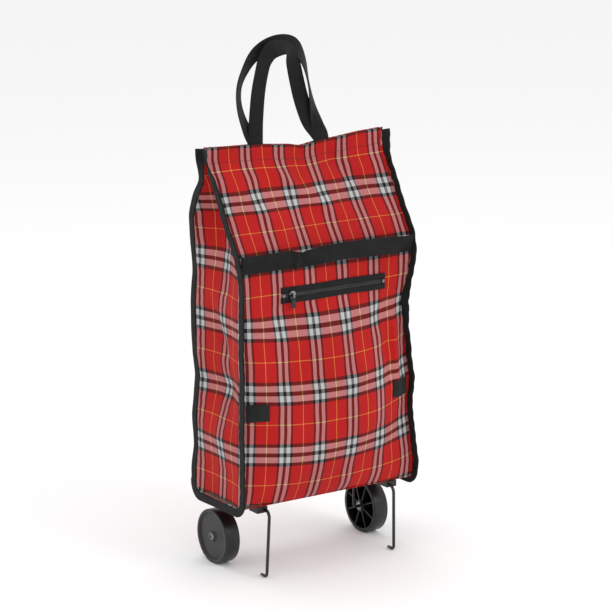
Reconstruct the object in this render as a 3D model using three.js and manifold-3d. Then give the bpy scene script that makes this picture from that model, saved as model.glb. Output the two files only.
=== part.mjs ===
// Folding shopping trolley: a cloth bag on two bent-wire wheel frames that fold under its base.
// Millimetres. +X is the user's right seen from the front, +Y goes to the back, +Z is up, Z 0 is the floor.
import * as THREE from 'three';
import { mergeVertices } from 'three/addons/utils/BufferGeometryUtils.js';
import Module from 'manifold-3d';

// ---- driving dimensions ---------------------------------------------------------------------------
const BAG_WIDTH = 300;
const BAG_DEPTH = 120;
const UNDERSIDE_Z = 103;        // underside of the bag above the floor
const HINGE_Z = 463;            // the front leans back above this height
const SHOULDER_Z = 515;         // the back leans forward above this height
const HEM_BASE_Z = 587;         // foot of the stitched hem at the mouth
const RIDGE_Z = 610;            // top edge of the closed mouth
const RIDGE_Y = 27;             // the closed mouth stands behind the bag's middle
const HEM_HALF_THICKNESS = 4.2; // from the middle of the closed hem to the outer face of either panel
const CROWN = 28;               // how far the middle of the filled bag's front stands out
const BAG_SET_BACK = 7.5;       // the bag's middle lies behind the origin, which is under the whole object
const CLOTH = 1.2;
const CLEARANCE = 0.4;          // between pieces that touch

const BINDING_WIDTH = 12.5;
const BINDING_THICKNESS = 2.4;
const BINDING_CORNER = 20;
const WEBBING_WIDTH = 25;
const WEBBING_THICKNESS = 1.8;
const STRAP_Z = 456;            // middle of the strap across the front
const STRAP_STAND_OFF = 9;      // how far the slack half of the strap stands off the bag

const HANDLE_FOOT_X = [-66, 44];    // where the two legs of each handle loop meet the ridge
const HANDLE_TOP_Z = 741;
const HANDLE_FOOT_Z = 616;

const ZIP_Z = 405.5;
const ZIP_X = [-81, 97];
const TAB_X = [110, 141];
const TAB_Z = [232, 257];

const WHEEL_RADIUS = 40;
const WHEEL_WIDTH = 24;
const WHEEL_CENTRE_X = 130.3;
const WHEEL_CENTRE_Y = 30;

const WIRE_RADIUS = 2.25;
const FRAME_X = 108;            // the plane that holds each wire's leg, run and drop
const FRAME_PIVOT_Z = 98;
const LEG_Y = -71;
const FOOT_LENGTH = 14;
const LEG_SPLAY = { left: 5, right: 1 };   // how far each foot stands outboard of its pivot

// ---- derived places -------------------------------------------------------------------------------
const HALF_WIDTH = BAG_WIDTH / 2;
const FRONT_Y = -BAG_DEPTH / 2;
const BACK_Y = BAG_DEPTH / 2;
const FRONT_HEM_Y = RIDGE_Y - HEM_HALF_THICKNESS;
const BACK_HEM_Y = RIDGE_Y + HEM_HALF_THICKNESS;
const BOARD_THICKNESS = 3;
const BOARD_BOTTOM_Z = UNDERSIDE_Z + CLOTH + CLEARANCE;
const BOARD_TOP_Z = BOARD_BOTTOM_Z + BOARD_THICKNESS;
const SIDES = [['left', -1], ['right', 1]];

// ---- materials ------------------------------------------------------------------------------------
function look(colour, roughness, metalness = 0) {
  return new THREE.MeshStandardMaterial({ color: colour, roughness, metalness });
}
const LOOKS = {
  plaid: () => look(0xb3201f, 0.85),
  binding: () => look(0x151515, 0.8),
  webbing: () => look(0x101012, 0.75),
  hookTape: () => look(0x0c0c0d, 0.95),
  board: () => look(0x2b2a28, 0.7),
  lining: () => look(0x1d1d1f, 0.9),
  wire: () => look(0x18181a, 0.35, 0.6),
  moulded: () => look(0x121213, 0.45),
  steel: () => look(0xb9bbbd, 0.25, 1),
  zipCoil: () => look(0x0d0d0e, 0.5),
};

const wasm = await Module();
wasm.setup();
const trolley = new THREE.Group();
trolley.position.y = BAG_SET_BACK;

function inOrder(a, b) {
  return [Math.min(a, b), Math.max(a, b)];
}

function addPart(name, geometry, makeLook, parent = trolley) {
  const mesh = new THREE.Mesh(geometry, makeLook());
  mesh.name = name;
  parent.add(mesh);
  return mesh;
}

// ---- solids: joining and cutting ------------------------------------------------------------------
function toSolid(geometry) {
  const bare = geometry.clone();
  bare.deleteAttribute('normal');
  bare.deleteAttribute('uv');
  const merged = mergeVertices(bare, 1e-4);
  return new wasm.Manifold(new wasm.Mesh({
    numProp: 3,
    vertProperties: new Float32Array(merged.attributes.position.array),
    triVerts: new Uint32Array(merged.index.array),
  }));
}

function toGeometry(solid) {
  const mesh = solid.getMesh();
  const geometry = new THREE.BufferGeometry();
  geometry.setAttribute('position', new THREE.BufferAttribute(mesh.vertProperties, 3));
  geometry.setIndex(new THREE.BufferAttribute(mesh.triVerts, 1));
  geometry.computeVertexNormals();
  return geometry;
}

function cut(geometry, tools) {
  const solid = tools.reduce((left, tool) => left.subtract(toSolid(tool)), toSolid(geometry));
  return toGeometry(solid);
}

function join(geometries) {
  const [first, ...rest] = geometries.map(toSolid);
  return toGeometry(rest.reduce((whole, piece) => whole.add(piece), first));
}

// ---- solids: shapes -------------------------------------------------------------------------------
function boxBetween([x0, y0, z0], [x1, y1, z1]) {
  const box = new THREE.BoxGeometry(x1 - x0, y1 - y0, z1 - z0);
  return box.translate((x0 + x1) / 2, (y0 + y1) / 2, (z0 + z1) / 2);
}

// A closed outline in the Y-Z plane, given thickness along X from x0 to x1.
function alongX(outline, x0, x1) {
  const shape = new THREE.Shape(outline.map(([y, z]) => new THREE.Vector2(y, z)));
  const geometry = new THREE.ExtrudeGeometry(shape, { depth: x1 - x0, bevelEnabled: false });
  const axes = new THREE.Matrix4().makeBasis(
    new THREE.Vector3(0, 1, 0), new THREE.Vector3(0, 0, 1), new THREE.Vector3(1, 0, 0));
  return geometry.applyMatrix4(axes).translate(x0, 0, 0);
}

// A closed outline in the X-Z plane, given thickness along Y from y0 to y1.
function alongY(shape, y0, y1, curveSegments = 6) {
  const geometry = new THREE.ExtrudeGeometry(shape, { depth: y1 - y0, bevelEnabled: false, curveSegments });
  return geometry.rotateX(Math.PI / 2).translate(0, y1, 0);
}

// A profile of [radius, height] pairs turned about X, centred on (x, y, z); side -1 turns it round.
function turnedAboutX(profile, x, y, z, side, segments) {
  const points = profile.map(([radius, height]) => new THREE.Vector2(radius, height));
  const geometry = new THREE.LatheGeometry(points, segments);
  return geometry.rotateZ(-side * Math.PI / 2).translate(x, y, z);
}

function pegAlongZ(x, y, z0, z1, radius, segments = 12) {
  const peg = new THREE.CylinderGeometry(radius, radius, z1 - z0, segments);
  return peg.rotateX(Math.PI / 2).translate(x, y, (z0 + z1) / 2);
}

// The line a round-bent wire or strap follows: straight between its corners, an arc at each.
function roundedLine(corners, radii, arcSteps) {
  const points = [corners[0].clone()];
  for (let i = 1; i < corners.length - 1; i += 1) {
    const back = corners[i - 1].clone().sub(corners[i]).normalize();
    const ahead = corners[i + 1].clone().sub(corners[i]).normalize();
    const half = back.angleTo(ahead) / 2;
    const radius = radii[i - 1];
    const middle = back.clone().add(ahead).normalize().multiplyScalar(radius / Math.sin(half));
    const centre = corners[i].clone().add(middle);
    const start = corners[i].clone().addScaledVector(back, radius / Math.tan(half)).sub(centre);
    const axis = back.clone().cross(ahead).normalize();
    const sweep = -(Math.PI - 2 * half);
    for (let k = 0; k <= arcSteps; k += 1) {
      points.push(start.clone().applyAxisAngle(axis, sweep * k / arcSteps).add(centre));
    }
  }
  points.push(corners[corners.length - 1].clone());
  return points;
}

// A curve whose evenly counted steps fall exactly on the given points.
class PointPath extends THREE.Curve {
  constructor(points) {
    super();
    this.points = points;
  }

  getPoint(t) {
    const last = this.points.length - 1;
    const place = THREE.MathUtils.clamp(t, 0, 1) * last;
    const index = Math.min(Math.floor(place), last - 1);
    return this.points[index].clone().lerp(this.points[index + 1], place - index);
  }

  getPointAt(u) {
    return this.getPoint(u);
  }
}

function wireAlong(points, radius, sides = 10) {
  const section = new THREE.Shape();
  for (let i = 0; i < sides; i += 1) {
    const angle = 2 * Math.PI * i / sides;
    const move = i === 0 ? 'moveTo' : 'lineTo';
    section[move](radius * Math.cos(angle), radius * Math.sin(angle));
  }
  section.closePath();
  return new THREE.ExtrudeGeometry(section, {
    steps: points.length - 1, extrudePath: new PointPath(points), curveSegments: 1 });
}

// The outline of an even thickness laid to the left of a line of [y, z] points.
function ribbonOutline(line, thickness) {
  const points = line.map(([y, z]) => new THREE.Vector2(y, z));
  const steps = points.slice(1).map((point, i) => point.clone().sub(points[i]).normalize());
  const inner = points.map((point, i) => {
    const before = steps[Math.max(i - 1, 0)];
    const after = steps[Math.min(i, steps.length - 1)];
    const along = before.clone().add(after).normalize();
    const reach = thickness / Math.cos(before.angleTo(after) / 2);
    return [point.x - along.y * reach, point.y + along.x * reach];
  });
  return [...line, ...inner.reverse()];
}

// A thin plate over a grid of points (rows of equal length), made thick by one shift of the whole grid.
function plateOverGrid(rows, shift) {
  const count = rows.length;
  const width = rows[0].length;
  const positions = [];
  for (const offset of [new THREE.Vector3(), shift]) {
    for (const row of rows) {
      for (const point of row) {
        positions.push(point.x + offset.x, point.y + offset.y, point.z + offset.z);
      }
    }
  }
  const at = (layer, i, j) => layer * count * width + i * width + j;
  const index = [];
  const quad = (a, b, c, d) => index.push(a, b, c, a, c, d);
  for (let i = 0; i < count - 1; i += 1) {
    for (let j = 0; j < width - 1; j += 1) {
      quad(at(0, i, j), at(0, i, j + 1), at(0, i + 1, j + 1), at(0, i + 1, j));
      quad(at(1, i, j), at(1, i + 1, j), at(1, i + 1, j + 1), at(1, i, j + 1));
    }
  }
  for (let j = 0; j < width - 1; j += 1) {
    quad(at(0, 0, j), at(1, 0, j), at(1, 0, j + 1), at(0, 0, j + 1));
    quad(at(0, count - 1, j), at(0, count - 1, j + 1), at(1, count - 1, j + 1), at(1, count - 1, j));
  }
  for (let i = 0; i < count - 1; i += 1) {
    quad(at(0, i, 0), at(0, i + 1, 0), at(1, i + 1, 0), at(1, i, 0));
    quad(at(0, i, width - 1), at(1, i, width - 1), at(1, i + 1, width - 1), at(0, i + 1, width - 1));
  }
  const geometry = new THREE.BufferGeometry();
  geometry.setAttribute('position', new THREE.Float32BufferAttribute(positions, 3));
  geometry.setIndex(index);
  if (signedVolume(geometry) < 0) {
    geometry.setIndex(index.reverse());
  }
  geometry.computeVertexNormals();
  return geometry;
}

// Below zero when the faces of a closed mesh point inwards.
function signedVolume(geometry) {
  const p = geometry.attributes.position;
  const corner = (i) => new THREE.Vector3().fromBufferAttribute(p, geometry.index.getX(i));
  let volume = 0;
  for (let i = 0; i < geometry.index.count; i += 3) {
    volume += corner(i).dot(corner(i + 1).cross(corner(i + 2))) / 6;
  }
  return volume;
}

// ---- bag shell ------------------------------------------------------------------------------------
// Outer faces seen from the side, as [y, z]: the front above the strap, and the back from the base up.
const HEM_LEAN = 2;
const FRONT_UPPER_LINE = [
  [FRONT_Y, HINGE_Z + CLEARANCE],
  [FRONT_HEM_Y - HEM_LEAN, HEM_BASE_Z],
  [FRONT_HEM_Y, RIDGE_Z],
];
const FRONT_LINE = [[FRONT_Y, UNDERSIDE_Z], ...FRONT_UPPER_LINE];
const BACK_LINE = [
  [BACK_Y, UNDERSIDE_Z],
  [BACK_Y, SHOULDER_Z],
  [BACK_HEM_Y, HEM_BASE_Z],
  [BACK_HEM_Y, RIDGE_Z],
];

// The y of a side-view line at height z.
function yAt(line, z) {
  const next = line.findIndex(([, height]) => height >= z);
  if (next <= 0) {
    return line[Math.max(next, 0)][0];
  }
  const [[y0, z0], [y1, z1]] = [line[next - 1], line[next]];
  return y0 + (y1 - y0) * (z - z0) / (z1 - z0);
}

const RIVET_RADIUS = 1.9;
const RIVET_HOLE_RADIUS = RIVET_RADIUS + 0.3;
const RIVET_X = 116;
const RIVET_SPREAD = 5;         // each rivet from the middle of its block
const BLOCK_LENGTH = 22;
const BLOCK_CENTRES_Y = { front: FRONT_Y + BLOCK_LENGTH / 2 + 0.5, rear: 10 };
const rivetPlaces = [];
for (const [side, sign] of SIDES) {
  for (const [end, y] of Object.entries(BLOCK_CENTRES_Y)) {
    for (const [letter, step] of [['a', -1], ['b', 1]]) {
      const name = `${side}_${end}_rivet_${letter}`;
      rivetPlaces.push({ name, sign, x: sign * RIVET_X, y: y + step * RIVET_SPREAD });
    }
  }
}

function withRivetHoles(geometry, z0, z1, places = rivetPlaces) {
  const drills = places.map(({ x, y }) => pegAlongZ(x, y, z0 - 1, z1 + 1, RIVET_HOLE_RADIUS));
  return cut(geometry, drills);
}

const panelFoot = UNDERSIDE_Z + CLOTH + CLEARANCE;
// How far the front stands out from its flat depth at (x, z): nothing at the bindings, the foot and the zip.
const CROWN_HALF_WIDTH = HALF_WIDTH - 4;
const CROWN_TOP_Z = 390;
const CROWN_SKEW = 0.8;         // under 1 puts the fullest height below the middle
function crownAt(x, z) {
  const across = Math.max(0, 1 - (x / CROWN_HALF_WIDTH) ** 2);
  const height = THREE.MathUtils.clamp((z - panelFoot) / (CROWN_TOP_Z - panelFoot), 0, 1);
  return CROWN * across * Math.sin(Math.PI * height ** CROWN_SKEW);
}

const CROWN_COLUMNS = 10;
const CROWN_ROWS = 9;
const crownX = Array.from(
  { length: CROWN_COLUMNS + 1 }, (_, i) => CROWN_HALF_WIDTH * (2 * i / CROWN_COLUMNS - 1));
const frontX = [-HALF_WIDTH, ...crownX, HALF_WIDTH];
const crownZ = Array.from(
  { length: CROWN_ROWS + 1 }, (_, i) => panelFoot + (CROWN_TOP_Z - panelFoot) * i / CROWN_ROWS);
const frontRows = [...crownZ, HINGE_Z - CLEARANCE].map(
  (z) => frontX.map((x) => new THREE.Vector3(x, FRONT_Y - crownAt(x, z), z)));
addPart('front_panel', plateOverGrid(frontRows, new THREE.Vector3(0, CLOTH, 0)), LOOKS.plaid);
const frontUpperOutline = ribbonOutline(FRONT_UPPER_LINE, -CLOTH);
addPart('front_panel_upper', alongX(frontUpperOutline, -HALF_WIDTH, HALF_WIDTH), LOOKS.plaid);
const underside = boxBetween(
  [-HALF_WIDTH, FRONT_Y, UNDERSIDE_Z],
  [HALF_WIDTH, BACK_Y, UNDERSIDE_Z + CLOTH]);
addPart('bottom_panel', withRivetHoles(underside, UNDERSIDE_Z, UNDERSIDE_Z + CLOTH), LOOKS.plaid);
const backOutline = ribbonOutline([[BACK_Y, panelFoot], ...BACK_LINE.slice(1)], CLOTH);
addPart('back_panel', alongX(backOutline, -HALF_WIDTH, HALF_WIDTH), LOOKS.plaid);

// Each gusset is flat up to the strap. Above it the panels close in and its middle is drawn into the bag
// by what is left of its cut half-width.
const GUSSET_THICKNESS = 2;
const GUSSET_INSET = CLOTH + CLEARANCE + 0.6;   // from either panel's outer face to the gusset's edge
const GUSSET_EDGE_X = HALF_WIDTH - 0.2;
const GUSSET_HALF_CUT = BAG_DEPTH / 2 - CLOTH - CLEARANCE;
const GUSSET_TUCK_STEPS = [0, 12, 30, 55, 85];  // above the strap
const gussetHeights = [
  panelFoot,
  ...GUSSET_TUCK_STEPS.map((step) => HINGE_Z + step),
  HEM_BASE_Z,
  RIDGE_Z - 4,
];

for (const [side, sign] of SIDES) {
  const rows = gussetHeights.map((z) => {
    const front = yAt(FRONT_LINE, z) + GUSSET_INSET;
    const back = yAt(BACK_LINE, z) - GUSSET_INSET;
    const spare = Math.max(GUSSET_HALF_CUT ** 2 - ((back - front) / 2) ** 2, 0);
    const tuck = z > HINGE_Z ? Math.sqrt(spare) : 0;
    return [
      new THREE.Vector3(sign * GUSSET_EDGE_X, front, z),
      new THREE.Vector3(sign * (GUSSET_EDGE_X - tuck), (front + back) / 2, z),
      new THREE.Vector3(sign * GUSSET_EDGE_X, back, z)];
  });
  const inward = new THREE.Vector3(-sign * GUSSET_THICKNESS, 0, 0);
  addPart(`${side}_gusset`, plateOverGrid(rows, inward), LOOKS.plaid);
}

// ---- binding: a flat welt in the plane of each gusset ----------------------------------------------
function toYZ(points) {
  return points.map(({ y, z }) => [y, z]);
}

const BINDING_PARTING = 1;      // between the lower welt and the one that opens with the mouth
const SHOULDER_CORNER = 4;
const bindingInner = [
  [FRONT_Y - CLEARANCE, HINGE_Z - BINDING_PARTING],
  [FRONT_Y - CLEARANCE, UNDERSIDE_Z - CLEARANCE],
  [BACK_Y + CLEARANCE, UNDERSIDE_Z - CLEARANCE],
  ...BACK_LINE.slice(1).map(([y, z]) => [y + CLEARANCE, z]),
];
const bindingOuter = ribbonOutline(bindingInner, -BINDING_WIDTH).slice(bindingInner.length).reverse();
const bindingRounded = toYZ(roundedLine(
  bindingOuter.map(([y, z]) => new THREE.Vector3(0, y, z)),
  [BINDING_CORNER, BINDING_CORNER, SHOULDER_CORNER, SHOULDER_CORNER], 5));
const bindingOutline = [...bindingInner, ...bindingRounded.reverse()];
const upperInner = FRONT_UPPER_LINE.map(([y, z]) => [y - CLEARANCE, z + BINDING_PARTING / 2]);
const upperOutline = ribbonOutline(upperInner, BINDING_WIDTH);

for (const [side, sign] of SIDES) {
  const outerX = HALF_WIDTH - 0.1;
  const [x0, x1] = inOrder(sign * outerX, sign * (outerX - BINDING_THICKNESS));
  addPart(`${side}_binding`, alongX(bindingOutline, x0, x1), LOOKS.binding);
  addPart(`${side}_binding_front_upper`, alongX(upperOutline, x0, x1), LOOKS.binding);
}

// ---- mouth closure ---------------------------------------------------------------------------------
const TAPE_THICKNESS = 1.2;
const TAPE_LENGTH = 44;
const TAPE_Z = [HEM_BASE_Z + 2, RIDGE_Z - 2];
const tapeCentreX = (HANDLE_FOOT_X[0] + HANDLE_FOOT_X[1]) / 2;
for (const [name, sign] of [['mouth_hook_tape', -1], ['mouth_loop_tape', 1]]) {
  const [y0, y1] = inOrder(RIDGE_Y + sign * CLEARANCE / 2, RIDGE_Y + sign * (CLEARANCE / 2 + TAPE_THICKNESS));
  addPart(name, boxBetween(
    [tapeCentreX - TAPE_LENGTH / 2, y0, TAPE_Z[0]],
    [tapeCentreX + TAPE_LENGTH / 2, y1, TAPE_Z[1]]), LOOKS.hookTape);
}

// ---- handle loops ----------------------------------------------------------------------------------
// Each loop is a flat arch of webbing standing in the ridge; corners are [x, z] with a bend radius.
function handleArch(corners, radii, y0) {
  const line = roundedLine(corners.map(([x, z]) => new THREE.Vector3(0, x, z)), radii, 6);
  const flat = toYZ(line);
  const left = ribbonOutline(flat, WEBBING_WIDTH / 2).slice(flat.length);
  const right = ribbonOutline(flat, -WEBBING_WIDTH / 2).slice(flat.length);
  const outline = [...left, ...right.reverse()];
  const shape = new THREE.Shape(outline.map(([x, z]) => new THREE.Vector2(x, z)));
  const arch = alongY(shape, y0, y0 + WEBBING_THICKNESS);
  const belowFeet = boxBetween(
    [-HALF_WIDTH, y0 - 1, HANDLE_FOOT_Z - 40], [HALF_WIDTH, y0 + WEBBING_THICKNESS + 1, HANDLE_FOOT_Z]);
  return cut(arch, [belowFeet]);
}

const footStart = HANDLE_FOOT_Z - 8;
const [footLeft, footRight] = [[HANDLE_FOOT_X[0], footStart], [HANDLE_FOOT_X[1] + 2, footStart]];
const frontHandleTop = [[HANDLE_FOOT_X[0] + 8, HANDLE_TOP_Z], [4, HANDLE_TOP_Z]];
const backHandleTop = [[-89, 672], [-66, HANDLE_TOP_Z], [18, HANDLE_TOP_Z]];
addPart('front_handle', handleArch(
  [footLeft, ...frontHandleTop, footRight], [24, 24],
  RIDGE_Y - CLEARANCE / 2 - WEBBING_THICKNESS), LOOKS.webbing);
addPart('back_handle', handleArch(
  [footLeft, ...backHandleTop, footRight], [50, 30, 26],
  RIDGE_Y + CLEARANCE / 2), LOOKS.webbing);

// ---- strap across the front ------------------------------------------------------------------------
// Sewn flat at its left end; the rest is slack. Points are [x, share of the stand-off].
const STRAP_END_X = HALF_WIDTH - 3.5;
const STRAP_SLACK = [
  [-STRAP_END_X, 0], [-62, 0], [-40, 0.7], [-10, 1], [60, 1], [115, 0.4], [STRAP_END_X, 0],
];
const strapBack = FRONT_Y - 0.8;
const strapLine = STRAP_SLACK.map(([x, share]) => [x, strapBack - STRAP_STAND_OFF * share]);
const strapShape = new THREE.Shape(
  ribbonOutline(strapLine, -WEBBING_THICKNESS).map(([x, y]) => new THREE.Vector2(x, y)));
const strap = new THREE.ExtrudeGeometry(strapShape, { depth: WEBBING_WIDTH, bevelEnabled: false });
addPart('front_strap', strap.translate(0, 0, STRAP_Z - WEBBING_WIDTH / 2), LOOKS.webbing);

// ---- hook-and-loop tabs that hold the rolled-up bag -------------------------------------------------
const TAB_THICKNESS = 1.6;
const TAB_STAND_OFF = 1.5;      // clears the crown between the tab's two ends
for (const [side, sign] of SIDES) {
  const tabZ = (TAB_Z[0] + TAB_Z[1]) / 2;
  const line = TAB_X.map((x) => [sign * x, FRONT_Y - crownAt(x, tabZ) - TAB_STAND_OFF]);
  const outline = ribbonOutline(line, -sign * TAB_THICKNESS);
  const shape = new THREE.Shape(outline.map(([x, y]) => new THREE.Vector2(x, y)));
  const tab = new THREE.ExtrudeGeometry(shape, { depth: TAB_Z[1] - TAB_Z[0], bevelEnabled: false });
  addPart(`${side}_tab`, tab.translate(0, 0, TAB_Z[0]), LOOKS.hookTape);
}

// ---- zip pocket ------------------------------------------------------------------------------------
const ZIP_FACE_Y = FRONT_Y - CLEARANCE;
const ZIP_TAPE_HEIGHT = 9;
const ZIP_TAPE_THICKNESS = 1;
const COIL_HALF_HEIGHT = 2.2;
const COIL_FACE_Y = ZIP_FACE_Y - 1.8;
const STOP_LENGTH = 4;
const STOP_INSET = 2;
for (const [name, sign] of [['upper_zip_tape', 1], ['lower_zip_tape', -1]]) {
  const near = COIL_HALF_HEIGHT + CLEARANCE;
  const [z0, z1] = inOrder(ZIP_Z + sign * near, ZIP_Z + sign * (near + ZIP_TAPE_HEIGHT));
  addPart(name, boxBetween(
    [ZIP_X[0], ZIP_FACE_Y - ZIP_TAPE_THICKNESS, z0],
    [ZIP_X[1], ZIP_FACE_Y, z1]), LOOKS.lining);
}
const coilInset = STOP_INSET + STOP_LENGTH + 1;
addPart('zip_coil', boxBetween(
  [ZIP_X[0] + coilInset, COIL_FACE_Y, ZIP_Z - COIL_HALF_HEIGHT],
  [ZIP_X[1] - coilInset, ZIP_FACE_Y, ZIP_Z + COIL_HALF_HEIGHT]), LOOKS.zipCoil);
const stopPlaces = [
  ['zip_stop_left', ZIP_X[0] + STOP_INSET],
  ['zip_stop_right', ZIP_X[1] - STOP_INSET - STOP_LENGTH],
];
for (const [name, x] of stopPlaces) {
  addPart(name, boxBetween(
    [x, COIL_FACE_Y - 0.6, ZIP_Z - COIL_HALF_HEIGHT],
    [x + STOP_LENGTH, ZIP_FACE_Y, ZIP_Z + COIL_HALF_HEIGHT]), LOOKS.steel);
}

// The slider: a shield-shaped plate over the coil, with an eyed bridge on its face.
const SLIDER_X = -64;
const SLIDER_BACK_Y = COIL_FACE_Y - CLEARANCE;
const SLIDER_FRONT_Y = SLIDER_BACK_Y - 2;
const PULLER_PIVOT_Y = SLIDER_FRONT_Y - 2.2;
const BRIDGE = { halfWidth: 1.2, halfHeight: 3.2, reach: 1.8 };
const EYE = { halfHeight: 1.6, reach: 1 };
const shieldCorners = [[-4, -5], [4, -5], [5.5, 3], [2.5, 6], [-2.5, 6], [-5.5, 3]];
const shield = new THREE.Shape(shieldCorners.map(([x, z]) => new THREE.Vector2(x, z)));
const sliderBody = alongY(shield, SLIDER_FRONT_Y, SLIDER_BACK_Y).translate(SLIDER_X, 0, ZIP_Z);
const bridge = boxBetween(
  [SLIDER_X - BRIDGE.halfWidth, PULLER_PIVOT_Y - BRIDGE.reach, ZIP_Z - BRIDGE.halfHeight],
  [SLIDER_X + BRIDGE.halfWidth, SLIDER_FRONT_Y + 0.5, ZIP_Z + BRIDGE.halfHeight]);
const bridgeEye = boxBetween(
  [SLIDER_X - 2 * BRIDGE.halfWidth, PULLER_PIVOT_Y - EYE.reach, ZIP_Z - EYE.halfHeight],
  [SLIDER_X + 2 * BRIDGE.halfWidth, PULLER_PIVOT_Y + EYE.reach, ZIP_Z + EYE.halfHeight]);
addPart('zip_slider', cut(join([sliderBody, bridge]), [bridgeEye]), LOOKS.steel);

// The puller is a ring round the bridge with a flat blade below it, hanging from the slider.
const PULLER_THICKNESS = 1.2;
const PULLER = { halfWidth: 3.5, top: 0.6, length: 18.6 };
const WINDOW = { halfWidth: 1.9, top: -0.6, foot: -6 };
const pullerPlate = boxBetween(
  [-PULLER.halfWidth, -PULLER_THICKNESS / 2, PULLER.top - PULLER.length],
  [PULLER.halfWidth, PULLER_THICKNESS / 2, PULLER.top]);
const pullerWindow = boxBetween(
  [-WINDOW.halfWidth, -PULLER_THICKNESS, WINDOW.foot],
  [WINDOW.halfWidth, PULLER_THICKNESS, WINDOW.top]);
const puller = cut(pullerPlate, [pullerWindow]).translate(SLIDER_X, PULLER_PIVOT_Y, ZIP_Z);
addPart('zip_puller', puller, LOOKS.steel);

const LINING = { margin: 4, gap: CLEARANCE, thickness: 2, above: 12, below: 150 };
const liningFront = FRONT_Y + CLOTH + LINING.gap;
addPart('pocket_lining', boxBetween(
  [ZIP_X[0] - LINING.margin, liningFront, ZIP_Z - LINING.below],
  [ZIP_X[1] + LINING.margin, liningFront + LINING.thickness, ZIP_Z + LINING.above]), LOOKS.lining);

// ---- base board, pivot blocks and rivets -----------------------------------------------------------
// The board is a middle that nothing passes through, and two riveted ends.
const BOARD_X = [100, HALF_WIDTH - GUSSET_THICKNESS - 1.2];
const BOARD_Y = [FRONT_Y + 3 * CLOTH, BACK_Y - 2 * CLOTH];
const boardMiddle = boxBetween(
  [-BOARD_X[0], BOARD_Y[0], BOARD_BOTTOM_Z],
  [BOARD_X[0], BOARD_Y[1], BOARD_TOP_Z]);
const boardEnds = SIDES.map(([, sign]) => {
  const [x0, x1] = inOrder(sign * BOARD_X[0], sign * BOARD_X[1]);
  const end = boxBetween([x0, BOARD_Y[0], BOARD_BOTTOM_Z], [x1, BOARD_Y[1], BOARD_TOP_Z]);
  return withRivetHoles(end, BOARD_BOTTOM_Z, BOARD_TOP_Z, rivetPlaces.filter((rivet) => rivet.sign === sign));
});
addPart('base_board', join([boardMiddle, ...boardEnds]), LOOKS.board);

const BLOCK_TOP_Z = UNDERSIDE_Z - 0.3;
const BLOCK_BOTTOM_Z = BLOCK_TOP_Z - 9;
const BLOCK_X = [104, 121];
const BORE_RADIUS = WIRE_RADIUS + 0.3;
const RIVET_TAIL_RADIUS = 3;
const RIVET_TAIL_DEPTH = 1.5;
for (const [side, sign] of SIDES) {
  const [x0, x1] = inOrder(sign * BLOCK_X[0], sign * BLOCK_X[1]);
  for (const [end, y] of Object.entries(BLOCK_CENTRES_Y)) {
    const block = boxBetween(
      [x0, y - BLOCK_LENGTH / 2, BLOCK_BOTTOM_Z],
      [x1, y + BLOCK_LENGTH / 2, BLOCK_TOP_Z]);
    const bore = new THREE.CylinderGeometry(BORE_RADIUS, BORE_RADIUS, BLOCK_LENGTH + 2, 16);
    bore.translate(sign * FRAME_X, y, FRAME_PIVOT_Z);
    const drills = [-1, 1].flatMap((step) => {
      const place = [sign * RIVET_X, y + step * RIVET_SPREAD];
      const shank = pegAlongZ(...place, BLOCK_BOTTOM_Z - 1, BLOCK_TOP_Z + 1, RIVET_HOLE_RADIUS);
      const tail = pegAlongZ(
        ...place, BLOCK_BOTTOM_Z - 1, BLOCK_BOTTOM_Z + RIVET_TAIL_DEPTH, RIVET_TAIL_RADIUS + 0.3);
      return [shank, tail];
    });
    addPart(`${side}_${end}_pivot_block`, cut(block, [bore, ...drills]), LOOKS.moulded);
  }
}

const RIVET_HEAD = { radius: 4.5, crownRadius: 3.4, edge: 1.6, crown: 1.9 };
const rivetProfile = [
  [0, BLOCK_BOTTOM_Z + 0.2],
  [RIVET_TAIL_RADIUS, BLOCK_BOTTOM_Z + 0.2],
  [RIVET_TAIL_RADIUS, BLOCK_BOTTOM_Z + RIVET_TAIL_DEPTH - 0.3],
  [RIVET_RADIUS, BLOCK_BOTTOM_Z + RIVET_TAIL_DEPTH - 0.3],
  [RIVET_RADIUS, BOARD_TOP_Z + 0.3],
  [RIVET_HEAD.radius, BOARD_TOP_Z + 0.3],
  [RIVET_HEAD.crownRadius, BOARD_TOP_Z + RIVET_HEAD.edge],
  [0, BOARD_TOP_Z + RIVET_HEAD.crown],
].map(([radius, z]) => new THREE.Vector2(radius, z));
for (const { name, x, y } of rivetPlaces) {
  const rivet = new THREE.LatheGeometry(rivetProfile, 12);
  addPart(name, rivet.rotateX(Math.PI / 2).translate(x, y, 0), LOOKS.steel);
}

// ---- wheel frames ----------------------------------------------------------------------------------
const AXLE_END_X = WHEEL_CENTRE_X + WHEEL_WIDTH / 2 + 3;
const BEND = { foot: 5, legTop: 10, rear: 6, axle: 6 };
for (const [side, sign] of SIDES) {
  const footX = FRAME_X + LEG_SPLAY[side];
  const corners = [
    [footX, LEG_Y + FOOT_LENGTH, WIRE_RADIUS],
    [footX, LEG_Y, WIRE_RADIUS],
    [FRAME_X, LEG_Y, FRAME_PIVOT_Z],
    [FRAME_X, WHEEL_CENTRE_Y, FRAME_PIVOT_Z],
    [FRAME_X, WHEEL_CENTRE_Y, WHEEL_RADIUS],
    [AXLE_END_X, WHEEL_CENTRE_Y, WHEEL_RADIUS],
  ].map(([x, y, z]) => new THREE.Vector3(sign * x, y, z));
  const line = roundedLine(corners, [BEND.foot, BEND.legTop, BEND.rear, BEND.axle], 5);
  addPart(`${side}_wheel_frame`, wireAlong(line, WIRE_RADIUS), LOOKS.wire);
}

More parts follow.
